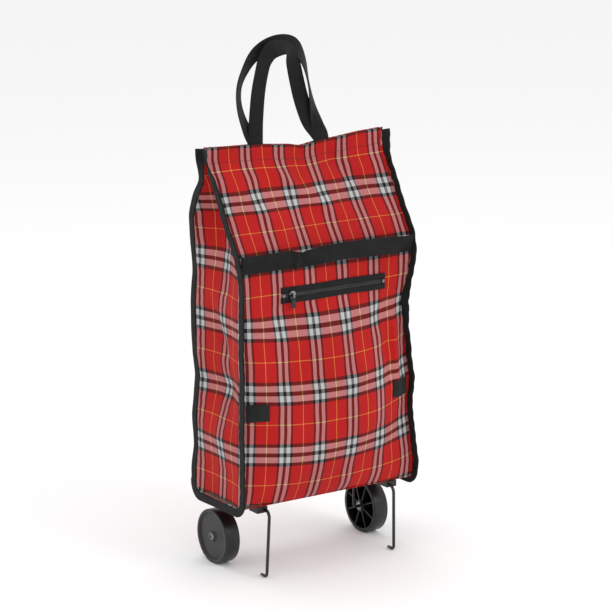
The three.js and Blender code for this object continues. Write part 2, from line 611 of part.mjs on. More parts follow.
// ---- wheels, washers and axle nuts -----------------------------------------------------------------
const HALF_WHEEL = WHEEL_WIDTH / 2;
const HUB_BORE = WIRE_RADIUS + 0.35;
const HUB_RADIUS = 9;
const RIM_INNER = WHEEL_RADIUS - 5.5;
const WEB_OUTER = HALF_WHEEL - 2.5;        // the web lies just inside the outer face
const WEB_INNER = WEB_OUTER - 3.5;
const TREAD_CROWN = 1;
const RIB_COUNT = 8;
const RIB_HALF_THICKNESS = 0.9;
const RIB_SETBACK = 4;                     // the ribs stop short of the inner face
// [radius, distance outboard of the wheel's middle], closed on itself round the bore
const wheelProfile = [
  [HUB_BORE, -HALF_WHEEL],
  [HUB_RADIUS, -HALF_WHEEL],
  [HUB_RADIUS, WEB_INNER],
  [RIM_INNER, WEB_INNER],
  [RIM_INNER, -HALF_WHEEL],
  [WHEEL_RADIUS - TREAD_CROWN, -HALF_WHEEL],
  [WHEEL_RADIUS, -HALF_WHEEL + 3],
  [WHEEL_RADIUS, HALF_WHEEL - 3],
  [WHEEL_RADIUS - TREAD_CROWN, HALF_WHEEL],
  [WHEEL_RADIUS - 4, HALF_WHEEL],
  [RIM_INNER, WEB_OUTER],
  [HUB_RADIUS, WEB_OUTER],
  [HUB_RADIUS - 1, HALF_WHEEL - 1],
  [HUB_BORE, HALF_WHEEL - 1],
  [HUB_BORE, -HALF_WHEEL],
];
const WASHER = { radius: 6.5, thickness: 1.2, gap: 0.4 };
const NUT = { radius: 5.8, crownRadius: 4, skirt: 0.8, height: 2.6, gap: 0.4 };
const washerProfile = [
  [HUB_BORE, 0],
  [WASHER.radius, 0],
  [WASHER.radius, WASHER.thickness],
  [HUB_BORE, WASHER.thickness],
  [HUB_BORE, 0],
];
const nutProfile = [
  [HUB_BORE, 0],
  [NUT.radius, 0],
  [NUT.radius, NUT.skirt],
  [NUT.crownRadius, NUT.height],
  [HUB_BORE, NUT.height],
  [HUB_BORE, 0],
];
const washerX = WHEEL_CENTRE_X - HALF_WHEEL - WASHER.gap - WASHER.thickness;
const nutX = WHEEL_CENTRE_X + HALF_WHEEL - 1 + NUT.gap;

for (const [side, sign] of SIDES) {
  const centre = [WHEEL_CENTRE_Y, WHEEL_RADIUS];
  const body = turnedAboutX(wheelProfile, sign * WHEEL_CENTRE_X, ...centre, sign, 40);
  const ribs = Array.from({ length: RIB_COUNT }, (_, i) => {
    const [x0, x1] = inOrder(sign * (RIB_SETBACK - HALF_WHEEL), sign * (WEB_INNER + 0.5));
    const rib = boxBetween(
      [x0, -RIB_HALF_THICKNESS, HUB_RADIUS - 1],
      [x1, RIB_HALF_THICKNESS, RIM_INNER + 1]);
    return rib.rotateX(2 * Math.PI * i / RIB_COUNT).translate(sign * WHEEL_CENTRE_X, ...centre);
  });
  addPart(`${side}_wheel`, join([body, ...ribs]), LOOKS.moulded);
  const washer = turnedAboutX(washerProfile, sign * washerX, ...centre, sign, 20);
  addPart(`${side}_axle_washer`, washer, LOOKS.steel);
  const nut = turnedAboutX(nutProfile, sign * nutX, ...centre, sign, 20);
  addPart(`${side}_axle_nut`, nut, LOOKS.steel);
}

export default trolley;
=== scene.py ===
import math

import bpy
import numpy as np
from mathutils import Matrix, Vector


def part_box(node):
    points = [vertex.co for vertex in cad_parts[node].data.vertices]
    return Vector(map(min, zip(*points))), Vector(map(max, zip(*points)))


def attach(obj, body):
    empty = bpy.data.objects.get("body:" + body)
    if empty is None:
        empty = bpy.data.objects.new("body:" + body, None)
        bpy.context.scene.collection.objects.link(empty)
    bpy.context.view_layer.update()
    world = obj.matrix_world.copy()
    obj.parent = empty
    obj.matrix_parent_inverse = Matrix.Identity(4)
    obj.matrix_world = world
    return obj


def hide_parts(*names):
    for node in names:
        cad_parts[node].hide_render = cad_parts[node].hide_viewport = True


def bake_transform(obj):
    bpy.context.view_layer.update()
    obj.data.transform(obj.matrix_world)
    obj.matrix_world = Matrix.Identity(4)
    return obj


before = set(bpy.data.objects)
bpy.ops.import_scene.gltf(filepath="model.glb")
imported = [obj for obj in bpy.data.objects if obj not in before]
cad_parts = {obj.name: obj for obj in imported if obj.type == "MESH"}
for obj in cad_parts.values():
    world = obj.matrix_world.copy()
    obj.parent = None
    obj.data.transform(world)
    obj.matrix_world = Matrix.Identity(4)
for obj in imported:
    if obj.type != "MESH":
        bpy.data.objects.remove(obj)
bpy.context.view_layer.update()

# Folding shopping trolley. Lengths are millimetres, apart from the camera's and the lights' places; MM
# turns them into Blender's metres.
MM = 0.001


def box_mm(node):
    """The lowest and highest corners of a CAD node, in millimetres."""
    low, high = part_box(node)
    return np.array(low, float) / MM, np.array(high, float) / MM


# ---- driving dimensions, from the frame ---------------------------------------------------------------
BAG_DEPTH = 120
HALF_WIDTH = box_mm("back_panel")[1][0]
BACK_Y = box_mm("back_panel")[1][1]
UNDERSIDE = box_mm("bottom_panel")[0][2]
CORNER_Y = box_mm("pocket_lining")[0][1] - 1.6     # the front's flat depth, a lining's gap ahead of it
CROWN = CORNER_Y - box_mm("front_panel")[0][1]
SET_BACK = CORNER_Y + BAG_DEPTH / 2     # the bag's own middle, which the profiles below are about
HINGE_Z = 463.0                 # the mouth's front bends here
RIDGE_Z = 610.0
SEAM_TOP_Z = 608.0              # where the side seams and bindings end, just under the ridge
STRAP_LOW, STRAP_HIGH = box_mm("front_strap")
ZIP_LOW, ZIP_HIGH = box_mm("zip_coil")
ZIP_MIDDLE = (ZIP_LOW[2] + ZIP_HIGH[2]) / 2
CLOTH = 0.8
TAPE_WIDTH = 12.5               # a binding, folded over its seam
TAPE_THICKNESS = 2.4
WEBBING_WIDTH = 25
WEBBING_THICKNESS = 1.8

# Side profiles of the bag as (z, y), foot to ridge.
FRONT_PROFILE = [(103, -60), (415, -60), (445, -57), (470, -48), (500, -28), (528, -10), (560, 8),
                 (577, 18), (592, 22.5), (610, 22.8)]
BACK_PROFILE = [(103, 60), (115, 58), (136, 58.5), (171, 51.5), (217, 54), (253, 49), (278, 45),
                (309, 53.5), (355, 54.5), (380, 55.5), (426, 50.5), (486, 56.5), (508, 58.5),
                (539, 45.5), (558, 32), (580, 30), (610, 30)]
# How far the right-hand front seam moves outwards at each height; below zero it is drawn in.
RIGHT_PINCH = [(103, 2), (130, 1), (190, -7), (225, -9), (257, -6), (287, -12), (316, -14),
               (346, -18), (369, -22), (397, -14), (427, -7), (440, -3), (470, 0), (610, 0)]
# How far the middle of the ridge sags at each x.
RIDGE_SAG = [(-150, 0), (-60, -4), (-7, -9), (10, -13), (35, -9), (60, -7), (110, -2), (150, 0)]
# Inward dent of a gusset's middle at each height; below zero it stands out.
GUSSET_DENT = [(103, 6), (150, 5), (200, -3), (240, 6), (270, 15), (300, 9), (345, 8), (400, 5),
               (430, 10), (470, 22), (510, 32), (560, 26), (592, 12), (610, 4)]
# Folds as a route of (x, z) points, a width, and how far the fold stands out; below zero it is a valley.
FRONT_FOLDS_BELOW_STRAP = [([(132, 372), (123, 322), (119, 268), (124, 222)], 9, 8),
                           ([(-138, 392), (-96, 350), (-40, 318)], 14, 3.0),
                           ([(70, 388), (104, 330), (100, 262)], 16, -3.5)]
FRONT_FOLDS_ABOVE_STRAP = [([(-60, 598), (-30, 556), (20, 520), (70, 492)], 13, 7),
                           ([(48, 600), (70, 560), (120, 520)], 13, -7),
                           ([(-135, 575), (-100, 530), (-40, 486)], 14, 5.0)]
BACK_FOLDS = [([(-60, 480), (0, 420), (80, 380)], 18, 4),
              ([(-110, 330), (-30, 260), (60, 230)], 20, -4)]
GUSSET_CREASE = [(40, 420), (5, 340), (-30, 290)]
# Between these two heights the cloth turns from the bag to the mouth's swinging front.
BEND_LOW, BEND_HIGH = HINGE_Z - 12, HINGE_Z + 14


# ---- small numeric helpers ----------------------------------------------------------------------------
def smooth_curve(points, at):
    """A smooth curve through (position, value) points, by a softened linear interpolation."""
    keys = np.array([p[0] for p in points], float)
    values = np.array([p[1] for p in points], float)
    at = np.asarray(at, float)
    reach = 7.0
    shifts = np.linspace(-reach, reach, 7)
    weights = np.cos(shifts / reach * math.pi / 2.2)
    total = sum(w * np.interp(at + d, keys, values) for d, w in zip(shifts, weights))
    return total / weights.sum()


def smoothstep(low, high, value):
    t = np.clip((np.asarray(value, float) - low) / (high - low), 0, 1)
    return t * t * (3 - 2 * t)


def ripple(x, z, scale, seed):
    """Smooth seeded unevenness between about -1 and 1."""
    rng = np.random.default_rng(seed)
    total = np.zeros(np.broadcast(x, z).shape)
    for _ in range(6):
        angle = rng.uniform(0, math.tau)
        size = scale * rng.uniform(0.7, 1.6)
        phase = rng.uniform(0, math.tau)
        total = total + np.sin((x * math.cos(angle) + z * math.sin(angle)) * math.tau / size + phase)
    return total / 3.2


def fold(x, z, route, width, depth):
    """A rounded ridge along a route of (x, z) points, dying away at both ends."""
    route = np.array(route, float)
    best = np.full(np.broadcast(x, z).shape, 1e9)
    share = np.zeros_like(best)
    steps = len(route) - 1
    for i in range(steps):
        a, b = route[i], route[i + 1]
        d = b - a
        t = np.clip(((x - a[0]) * d[0] + (z - a[1]) * d[1]) / (d @ d), 0, 1)
        far = np.hypot(x - a[0] - t * d[0], z - a[1] - t * d[1])
        share = np.where(far < best, (i + t) / steps, share)
        best = np.minimum(best, far)
    return depth * np.exp(-(best / width) ** 2) * np.sin(np.pi * np.clip(share, 0.06, 0.94))


# ---- meshes -------------------------------------------------------------------------------------------
def new_object(name, vertices, faces, uv=None, smooth=True):
    """A mesh object from millimetre points; uv holds one (u, v) for each point."""
    mesh = bpy.data.meshes.new(name)
    mesh.from_pydata((np.asarray(vertices, float) * MM).tolist(), [], faces)
    if uv is not None:
        layer = mesh.uv_layers.new(name="cloth")
        index = np.empty(len(mesh.loops), np.int32)
        mesh.loops.foreach_get("vertex_index", index)
        layer.data.foreach_set("uv", (np.asarray(uv, float) * MM)[index].ravel())
    mesh.validate()
    mesh.polygons.foreach_set("use_smooth", [smooth] * len(mesh.polygons))
    mesh.update()
    obj = bpy.data.objects.new(name, mesh)
    bpy.context.scene.collection.objects.link(obj)
    return obj


def grid_normals(grid):
    along = np.gradient(grid, axis=0)
    across = np.gradient(grid, axis=1)
    normal = np.cross(across, along)
    return normal / np.maximum(np.linalg.norm(normal, axis=2, keepdims=True), 1e-9)


def cloth_sheet(name, grid, uv, thickness=CLOTH, flip=False):
    """A closed thin sheet over a grid of points, thickened on its inner side."""
    rows, columns, _ = grid.shape
    normal = grid_normals(grid) * (-1 if flip else 1)
    points = np.concatenate([grid.reshape(-1, 3), (grid - normal * thickness).reshape(-1, 3)])
    count = rows * columns
    faces = []

    def add(a, b, c, d):
        faces.append((a, d, c, b) if flip else (a, b, c, d))

    for i in range(rows - 1):
        for j in range(columns - 1):
            a = i * columns + j
            b, c, d = a + 1, a + columns + 1, a + columns
            add(a, b, c, d)
            add(count + a, count + d, count + c, count + b)
    edge = [(0, j) for j in range(columns)] + [(i, columns - 1) for i in range(1, rows)]
    edge += [(rows - 1, j) for j in range(columns - 2, -1, -1)] + [(i, 0) for i in range(rows - 2, 0, -1)]
    ring = [i * columns + j for i, j in edge]
    for a, b in zip(ring, ring[1:] + ring[:1]):
        add(b, a, count + a, count + b)
    flat = uv.reshape(-1, 2)
    return new_object(name, points, faces, np.concatenate([flat, flat]))


def resample(points, step):
    """Points along a smooth path through the given ones, about step apart, and their shares."""
    points = np.array(points, float)
    ends = np.vstack([2 * points[0] - points[1], points, 2 * points[-1] - points[-2]])
    path = []
    where = []
    for i in range(1, len(ends) - 2):
        p0, p1, p2, p3 = ends[i - 1:i + 3]
        pieces = max(2, int(np.linalg.norm(p2[:3] - p1[:3]) / step))
        for k in range(pieces):
            t = k / pieces
            path.append(0.5 * (2 * p1 + (p2 - p0) * t + (2 * p0 - 5 * p1 + 4 * p2 - p3) * t * t
                               + (3 * p1 - p0 - 3 * p2 + p3) * t ** 3))
            where.append(i - 1 + t)
    path.append(points[-1])
    where.append(len(points) - 1)
    return np.array(path), np.array(where)


def webbing_strip(name, path, across, width, thickness):
    """A flat strip with rounded edges; across gives the direction of its width at each point."""
    tangent = np.gradient(path, axis=0)
    tangent /= np.linalg.norm(tangent, axis=1, keepdims=True)
    across = across - (across * tangent).sum(1, keepdims=True) * tangent
    across /= np.linalg.norm(across, axis=1, keepdims=True)
    face = np.cross(tangent, across)
    half, deep = width / 2, thickness / 2
    side = np.linspace(-half + deep, half - deep, 7)
    section = [(u, deep) for u in side] + [(half - deep * 0.3, deep * 0.7), (half, 0),
               (half - deep * 0.3, -deep * 0.7)]
    section += [(u, -deep) for u in side[::-1]] + [(-half + deep * 0.3, -deep * 0.7), (-half, 0),
                (-half + deep * 0.3, deep * 0.7)]
    run = np.concatenate([[0], np.cumsum(np.linalg.norm(np.diff(path, axis=0), axis=1))])
    points, uv = [], []
    for p, a, f, s in zip(path, across, face, run):
        for u, v in section:
            points.append(p + a * u + f * v)
            uv.append((u, s))
    n = len(section)
    faces = []
    for i in range(len(path) - 1):
        for j in range(n):
            k = (j + 1) % n
            faces.append((i * n + j, i * n + k, (i + 1) * n + k, (i + 1) * n + j))
    faces.append(tuple(range(n))[::-1])
    faces.append(tuple((len(path) - 1) * n + j for j in range(n)))
    return new_object(name, points, faces, uv)


def round_bar(name, path, radius, sides=20):
    """A round wire along a path, with parallel-carried sections and domed ends."""
    tangent = np.gradient(path, axis=0)
    tangent /= np.linalg.norm(tangent, axis=1, keepdims=True)
    side = np.cross(tangent[0], [0.3, 0.2, 1.0])
    points = []
    for i, p in enumerate(path):
        side = side - (side @ tangent[i]) * tangent[i]
        side /= np.linalg.norm(side)
        other = np.cross(tangent[i], side)
        scale = 0.8 if i in (0, len(path) - 1) else 1.0
        for k in range(sides):
            turn = math.tau * k / sides
            points.append(p + radius * scale * (math.cos(turn) * side + math.sin(turn) * other))
    faces = []
    for i in range(len(path) - 1):
        for j in range(sides):
            k = (j + 1) % sides
            faces.append((i * sides + j, i * sides + k, (i + 1) * sides + k, (i + 1) * sides + j))
    faces.append(tuple(range(sides))[::-1])
    faces.append(tuple((len(path) - 1) * sides + j for j in range(sides)))
    return new_object(name, points, faces)


def lathe_about_x(name, profile, centre, sign, sides=96):
    """A closed (outward x, radius) profile turned about the X axis through centre."""
    points = []
    for k in range(sides):
        turn = math.tau * k / sides
        for out, radius in profile:
            points.append((centre[0] + sign * out, centre[1] + radius * math.cos(turn),
                           centre[2] + radius * math.sin(turn)))
    n = len(profile)
    faces = []
    for k in range(sides):
        m = (k + 1) % sides
        for j in range(n):
            i = (j + 1) % n
            quad = (k * n + j, k * n + i, m * n + i, m * n + j)
            faces.append(quad if sign > 0 else quad[::-1])
    obj = new_object(name, points, faces)
    obj.data.set_sharp_from_angle(angle=math.radians(38))
    return obj


# The faces of a box whose corners run through x, then y, then z.
BOX_FACES = [(0, 1, 3, 2), (4, 6, 7, 5), (0, 4, 5, 1), (2, 3, 7, 6), (0, 2, 6, 4), (1, 5, 7, 3)]


def block_set(name, blocks, bevel):
    """Many small boxes as one mesh: each is (centre, half size)."""
    corners = np.array([(x, y, z) for x in (-1, 1) for y in (-1, 1) for z in (-1, 1)], float)
    points, faces = [], []
    for centre, half in blocks:
        start = len(points)
        points.extend(np.array(centre) + corners * np.array(half))
        faces.extend(tuple(start + i for i in side) for side in BOX_FACES)
    obj = new_object(name, points, faces)
    rounding = obj.modifiers.new("edges", "BEVEL")
    rounding.width = bevel * MM
    rounding.segments = 2
    return obj


# ---- node-based materials -----------------------------------------------------------------------------
class Shader:
    """A material's node tree, with short calls for the nodes used here."""

    def __init__(self, name, roughness, metallic=0.0, sheen=0.0, specular=0.5):
        self.material = bpy.data.materials.new(name)
        self.material.use_nodes = True
        self.nodes = self.material.node_tree.nodes
        self.links = self.material.node_tree.links
        self.surface = self.nodes["Principled BSDF"]
        self.surface.inputs["Roughness"].default_value = roughness
        self.surface.inputs["Metallic"].default_value = metallic
        self.surface.inputs["Sheen Weight"].default_value = sheen
        self.surface.inputs["Specular IOR Level"].default_value = specular

    def put(self, socket, value):
        if isinstance(value, bpy.types.NodeSocket):
            self.links.new(value, socket)
        else:
            socket.default_value = value

    def math(self, kind, a, b=0.0):
        node = self.nodes.new("ShaderNodeMath")
        node.operation = kind
        self.put(node.inputs[0], a)
        self.put(node.inputs[1], b)
        return node.outputs[0]

    def uv(self):
        node = self.nodes.new("ShaderNodeUVMap")
        node.uv_map = "cloth"
        split = self.nodes.new("ShaderNodeSeparateXYZ")
        self.links.new(node.outputs[0], split.inputs[0])
        return split.outputs[0], split.outputs[1]

    def noise(self, scale, detail=4.0):
        where = self.nodes.new("ShaderNodeTexCoord")
        node = self.nodes.new("ShaderNodeTexNoise")
        node.inputs["Scale"].default_value = scale
        node.inputs["Detail"].default_value = detail
        self.links.new(where.outputs["Object"], node.inputs["Vector"])
        return node.outputs[0]

    def ramp(self, value, stops, constant=False):
        node = self.nodes.new("ShaderNodeValToRGB")
        ramp = node.color_ramp
        ramp.interpolation = "CONSTANT" if constant else "LINEAR"
        while len(ramp.elements) < len(stops):
            ramp.elements.new(0.5)
        for element, (position, colour) in zip(ramp.elements, stops):
            element.position = position
            element.color = (*colour, 1)
        self.put(node.inputs[0], value)
        return node.outputs[0]

    def mix(self, kind, factor, a, b):
        node = self.nodes.new("ShaderNodeMix")
        node.data_type = "RGBA"
        node.blend_type = kind
        self.put(node.inputs[0], factor)
        self.put(node.inputs[6], a)
        self.put(node.inputs[7], b)
        return node.outputs[2]

    def colour(self, value):
        self.put(self.surface.inputs["Base Color"], value)

    def bump(self, height, distance, strength=1.0):
        node = self.nodes.new("ShaderNodeBump")
        node.inputs["Distance"].default_value = distance * MM
        node.inputs["Strength"].default_value = strength
        self.put(node.inputs["Height"], height)
        self.links.new(node.outputs[0], self.surface.inputs["Normal"])


def linear(red, green, blue):
    """A linear colour from 0 to 255 display values."""
    return tuple((v / 255 / 12.92) if v <= 10 else ((v / 255 + 0.055) / 1.055) ** 2.4
                 for v in (red, green, blue))


def root(colour):
    """The check's threads are mixed as square roots and squared after, which keeps the dark ones dark."""
    return tuple(math.sqrt(v) for v in colour)


RED, WHITE = root(linear(184, 22, 22)), root(linear(192, 190, 190))
BLACK, YELLOW = root(linear(9, 8, 9)), root(linear(236, 190, 84))


def check_stops(edges):
    """Colour stops of one repeat of the check: yellow line, red, and black and white bands."""
    order = [YELLOW, RED, BLACK, WHITE, BLACK, WHITE, BLACK, RED, YELLOW]
    return list(zip([0.0] + edges, order))


WARP_REPEAT, WARP_CENTRE = 55.0, -31.0
WEFT_REPEAT, WEFT_CENTRE = 91.0, 83.5
WARP_EDGES = [0.0081, 0.30, 0.357, 0.459, 0.541, 0.643, 0.70, 0.9919]
WEFT_EDGES = [0.0066, 0.313, 0.3725, 0.465, 0.535, 0.6275, 0.687, 0.9934]


def plaid_material():
    s = Shader("plaid_cloth", 0.78, sheen=0.03, specular=0.2)
    u, v = s.uv()

    def place(value, repeat, centre):
        turns = s.math("MULTIPLY", value, 1 / (repeat * MM))
        return s.math("FRACT", s.math("ADD", turns, 0.5 - centre / repeat + 40))

    warp = s.ramp(place(u, WARP_REPEAT, WARP_CENTRE), check_stops(WARP_EDGES), True)
    weft = s.ramp(place(v, WEFT_REPEAT, WEFT_CENTRE), check_stops(WEFT_EDGES), True)
    thread = math.tau / (1.1 * MM)
    twill = s.math("SINE", s.math("MULTIPLY", s.math("ADD", u, v), thread))
    mixed = s.mix("MIX", s.math("ADD", s.math("MULTIPLY", twill, 0.22), 0.5), warp, weft)
    squared = s.mix("MULTIPLY", 1.0, mixed, mixed)
    tint = s.ramp(s.noise(9.0), [(0.3, (0.86, 0.86, 0.86)), (0.7, (1, 1, 1))])
    s.colour(s.mix("MULTIPLY", 1.0, squared, tint))
    weave = s.math("ADD", s.math("MULTIPLY", twill, 0.5), s.noise(420.0, 2.0))
    s.bump(weave, 0.12)
    return s.material


def ribbed_material(name, dark, light, pitch, along, roughness=0.7, depth=0.25):
    """Woven tape: fine ribs at the pitch, across or along the strip; its colour is darker in the rib
    grooves and lighter on the crests as painted shade, with a slight random drift.
    """
    s = Shader(name, roughness, sheen=0.02, specular=0.2)
    u, v = s.uv()
    main, cross = (v, u) if along else (u, v)
    rib = s.math("SINE", s.math("MULTIPLY", main, math.tau / (pitch * MM)))
    weft = s.math("SINE", s.math("MULTIPLY", cross, math.tau / (pitch * 0.7 * MM)))
    cloth = s.math("ADD", s.math("MULTIPLY", rib, 0.35), s.math("MULTIPLY", weft, 0.15))
    value = s.math("ADD", cloth, s.noise(60.0))
    # painted shade: the colour follows the rib relief, darker in the grooves and lighter on the crests;
    # the noise adds a random tone drift
    s.colour(s.ramp(value, [(0.1, linear(*dark)), (0.95, linear(*light))]))
    s.bump(cloth, depth)
    return s.material


def moulded_material(name, dark, light, roughness, scale=900.0, depth=0.05):
    """Moulded plastic or coating: a fine grain, slight colour drift and uneven gloss."""
    s = Shader(name, roughness)
    drift = s.noise(35.0)
    s.colour(s.ramp(drift, [(0.3, linear(*dark)), (0.7, linear(*light))]))
    gloss = s.ramp(s.noise(80.0), [(0.3, (roughness * 0.85,) * 3), (0.7, (min(1, roughness * 1.2),) * 3)])
    s.put(s.surface.inputs["Roughness"], gloss)
    s.bump(s.noise(scale, 2.0), depth)
    return s.material


def steel_material():
    s = Shader("bright_steel_plate", 0.25, metallic=1.0)
    s.colour(s.ramp(s.noise(120.0), [(0.3, linear(96, 97, 100)), (0.7, linear(150, 152, 156))]))
    gloss = s.ramp(s.noise(240.0), [(0.3, (0.18,) * 3), (0.7, (0.36,) * 3)])
    s.put(s.surface.inputs["Roughness"], gloss)
    s.bump(s.noise(1500.0, 2.0), 0.02)
    return s.material


PLAID = plaid_material()
BINDING = ribbed_material("binding_ribs", (8, 9, 9), (30, 32, 31), 0.9, along=False)
WEBBING = ribbed_material("webbing_ribs", (7, 7, 8), (28, 28, 30), 1.6, along=False, depth=0.4)
HOOKS = moulded_material("hook_pile", (7, 7, 7), (22, 22, 22), 0.95, scale=1400.0, depth=0.6)
LINING = moulded_material("lining_cloth", (38, 38, 40), (54, 54, 56), 0.85, scale=1600.0, depth=0.15)
BOARD = moulded_material("fibre_board", (66, 58, 48), (88, 78, 64), 0.9, depth=0.1)
COIL = moulded_material("zip_nylon", (10, 10, 11), (34, 34, 36), 0.35)
PLASTIC = moulded_material("black_plastic", (9, 9, 10), (20, 21, 22), 0.38)
COATING = moulded_material("wire_coating", (10, 10, 11), (26, 26, 28), 0.3)
STEEL = steel_material()
THREAD = moulded_material("stitch_thread", (62, 14, 14), (96, 22, 20), 0.7, scale=2200.0, depth=0.1)


def finish_piece(obj, material, body=None, nodes=()):
    obj.data.materials.clear()
    obj.data.materials.append(material)
    if nodes:
        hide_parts(*nodes)
    if body:
        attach(obj, body)
    return obj


# ---- the bag's cloth ----------------------------------------------------------------------------------
CROWN_HALF_WIDTH = HALF_WIDTH - 4
CROWN_TOP_Z = 390
CROWN_SKEW = 0.8                # under 1 puts the fullest height below the middle


def crown_at(x, z):
    """How far the filled bag's front stands out from its corners."""
    across = np.clip(1 - (x / CROWN_HALF_WIDTH) ** 2, 0, 1)
    height = np.clip((z - UNDERSIDE) / (CROWN_TOP_Z - UNDERSIDE), 0, 1)
    return CROWN * across * np.sin(math.pi * height ** CROWN_SKEW)


def ridge_sag(x, z):
    """How far the ridge's sag lowers a point, which dies away below the hem."""
    return smooth_curve(RIDGE_SAG, x) * smoothstep(540, RIDGE_Z, z)


def follow_mouth(obj):
    """Bakes the cloth's transform into its mesh; the cloth is not split between the bag and the mouth's
    front.
    """
    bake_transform(obj)


def front_point(x, z):
    """The outer face of the front at the flat place (x, z)."""
    x = np.asarray(x, float)
    z = np.asarray(z, float)
    toward_right = smoothstep(60, HALF_WIDTH, x)
    pull = smooth_curve(RIGHT_PINCH, z) * toward_right
    y = SET_BACK + smooth_curve(FRONT_PROFILE, z) - crown_at(x, z)
    edge = HALF_WIDTH - np.abs(x)
    inner = smoothstep(0, 22, edge)
    calm = 1 - np.exp(-((z - ZIP_MIDDLE) / 16) ** 2) * (x < 105)     # the sewn zip keeps its cloth flat
    calm = calm * (1 - 0.8 * np.exp(-((z - HINGE_Z + 7) / 14) ** 2))
    y = y + calm * inner * (2.0 * ripple(x, z, 95, 4) + 0.8 * ripple(x, z, 38, 9))
    y = y + np.exp(-edge / 9) * 0.7 * np.sin(z * math.tau / 19 + 1.3 * np.sin(z / 31))
    for route, width, depth in FRONT_FOLDS_BELOW_STRAP:
        y = y - calm * fold(x, z, route, width, depth)
    for route, width, depth in FRONT_FOLDS_ABOVE_STRAP:
        y = y - fold(x, z, route, width, depth)
    y = y - 0.5 * pull
    foot_top = UNDERSIDE + 29                                         # the foot turns under below this
    y = np.where(z < foot_top, y + 4 * ((foot_top - z) / 29) ** 2, y)
    return np.stack([x + 0.72 * pull, y, z + ridge_sag(x, z)], axis=-1)


def lengths(grid, axis):
    step = np.linalg.norm(np.diff(grid, axis=axis), axis=2)
    start = np.zeros((1, grid.shape[1])) if axis == 0 else np.zeros((grid.shape[0], 1))
    return np.cumsum(np.concatenate([start, step], axis=axis), axis=axis)


FRONT_COLUMNS, FRONT_ROWS = 121, 205


def front_cloth():
    """The front, whose check droops where the cloth stands out."""
    x, z = np.meshgrid(np.linspace(-HALF_WIDTH, HALF_WIDTH, FRONT_COLUMNS),
                       np.linspace(UNDERSIDE, RIDGE_Z, FRONT_ROWS))
    grid = front_point(x, z)
    across = lengths(grid, 1)
    across = across - across[:, FRONT_COLUMNS // 2:FRONT_COLUMNS // 2 + 1]
    up = lengths(grid, 0)[:, :1] * np.ones_like(x)
    droop = 10 * (1 - (x / HALF_WIDTH) ** 2) * (1 - smoothstep(330, 430, z))
    hem = 9 * smoothstep(520, RIDGE_Z, z)
    obj = cloth_sheet("front_cloth", grid, np.stack([across, up + droop - hem], axis=-1))
    finish_piece(obj, PLAID, nodes=("front_panel", "front_panel_upper"))
    follow_mouth(obj)


def back_cloth():
    """The back and the bottom, which are one strip of cloth."""
    floor_y = np.linspace(CORNER_Y + 2, BACK_Y, 40)
    wall_z = np.linspace(UNDERSIDE, RIDGE_Z, 170)[1:]
    wall_y = SET_BACK + smooth_curve(BACK_PROFILE, wall_z)
    y = np.concatenate([floor_y, wall_y])
    z = np.concatenate([np.full(len(floor_y), UNDERSIDE), wall_z])
    x = np.linspace(-HALF_WIDTH, HALF_WIDTH, 101)
    xs, ys = np.meshgrid(x, y)
    zs = np.repeat(z[:, None], len(x), axis=1)
    on_wall = smoothstep(UNDERSIDE, UNDERSIDE + 30, zs)
    inner = smoothstep(0, 25, HALF_WIDTH - np.abs(xs))
    ys = ys + on_wall * inner * 2.2 * ripple(xs, zs, 110, 11)
    for route, width, depth in BACK_FOLDS:
        ys = ys + on_wall * fold(xs, zs, route, width, depth)
    zs = zs + ridge_sag(xs, zs)
    grid = np.stack([xs, ys, zs], axis=-1)
    across = lengths(grid, 1)
    across = across - across[:, 50:51]
    run = lengths(grid, 0)[:, :1] * np.ones_like(xs) - BAG_DEPTH
    obj = cloth_sheet("back_cloth", grid, np.stack([across, run], axis=-1), flip=True)
    finish_piece(obj, PLAID, "bag", ("back_panel", "bottom_panel"))


def front_seam(sign, z):
    return front_point(np.full_like(np.asarray(z, float), sign * HALF_WIDTH), z)


def back_seam(sign, z):
    z = np.asarray(z, float)
    y = SET_BACK + smooth_curve(BACK_PROFILE, z)
    return np.stack([np.full_like(z, sign * HALF_WIDTH), y, z], axis=-1)


def front_share(z):
    """How much of the mouth's swing a point of the front follows at its height."""
    return smoothstep(BEND_LOW, BEND_HIGH, z)


def gusset_cloth(side, sign):
    columns = 41
    z = np.linspace(UNDERSIDE, SEAM_TOP_Z, 190)
    share = np.linspace(0, 1, columns)
    front, back = front_seam(sign, z), back_seam(sign, z)
    grid = back[:, None, :] * (1 - share)[None, :, None] + front[:, None, :] * share[None, :, None]
    middle = np.sin(np.pi * share)[None, :]     # nothing at either seam
    dent = smooth_curve(GUSSET_DENT, z)[:, None] * middle ** 1.3
    uneven = 1.8 * ripple(grid[:, :, 1], grid[:, :, 2], 75, 21 if sign < 0 else 22) * middle
    crease = fold(grid[:, :, 1], grid[:, :, 2], GUSSET_CREASE, 10, 4) * middle
    grid[:, :, 0] -= sign * (dent + uneven + crease)
    across = lengths(grid, 1)
    across = across - across[:, columns // 2:columns // 2 + 1] + WARP_CENTRE - 6
    up = lengths(grid, 0)[:, columns - 1:] * np.ones_like(across) + 2
    uv = np.stack([across, up], axis=-1)
    obj = cloth_sheet(f"{side}_gusset_cloth", grid, uv, flip=sign > 0)
    finish_piece(obj, PLAID, nodes=(f"{side}_gusset",))
    follow_mouth(obj)
    # Weights for a bellows fold are worked out here (the back seam stays, the front seam takes the
    # mouth's share), but they are not applied to the mesh.
    weight = (front_share(z)[:, None] * share[None, :]).ravel()
    weight = np.concatenate([weight, weight]).astype(np.float32)


def welt(name, path, outward, nodes, body=None):
    """A folded binding over a seam, standing out from it by its width."""
    run = np.arange(len(path))[:, None]
    wander = 0.5 * np.sin(run / 5.1) + 0.35 * np.sin(run / 2.3 + 1)
    middle = path + outward * 5.6
    middle[:, 0] += wander[:, 0]
    obj = webbing_strip(name, middle, outward, TAPE_WIDTH, TAPE_THICKNESS)
    return finish_piece(obj, BINDING, body, nodes)


